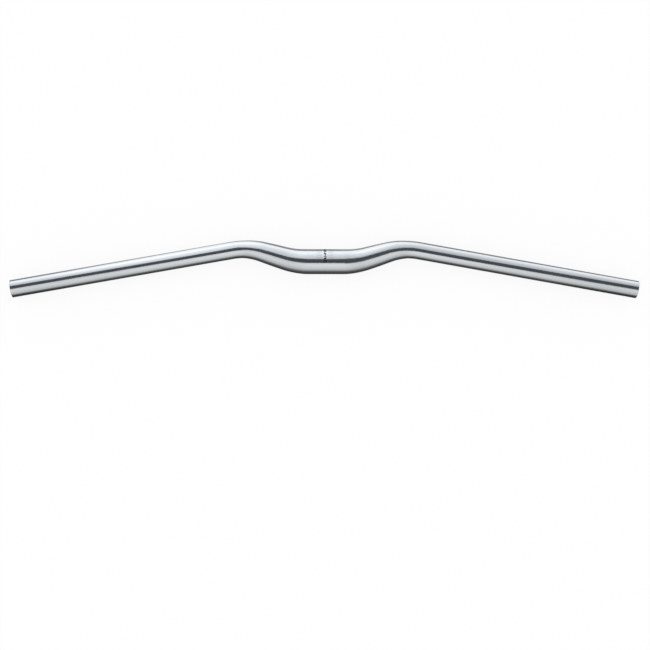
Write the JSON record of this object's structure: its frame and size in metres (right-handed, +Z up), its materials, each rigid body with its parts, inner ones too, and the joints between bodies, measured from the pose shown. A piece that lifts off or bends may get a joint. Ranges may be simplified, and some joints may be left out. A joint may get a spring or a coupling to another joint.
{
  "type": "flat handlebar",
  "caption": "Flat bicycle handlebar: a bent, tapered and butted aluminium tube, thick at the stem clamp, stepped forward beside it and swept back to straight open grip ends.",
  "frame": {"origin": "middle of the stem clamp zone, on the tube's axis", "axes": "+X along the clamp zone to the rider's right, +Y forward, +Z up; the tube's axis lies in the plane Z = 0"},
  "size_m": [0.8, 0.0728, 0.0318],
  "materials": {
    "polished_aluminium": "polished"
  },
  "bodies": {
    "root": {"handlebar_tube": "polished_aluminium"}
  },
  "joints": []
}
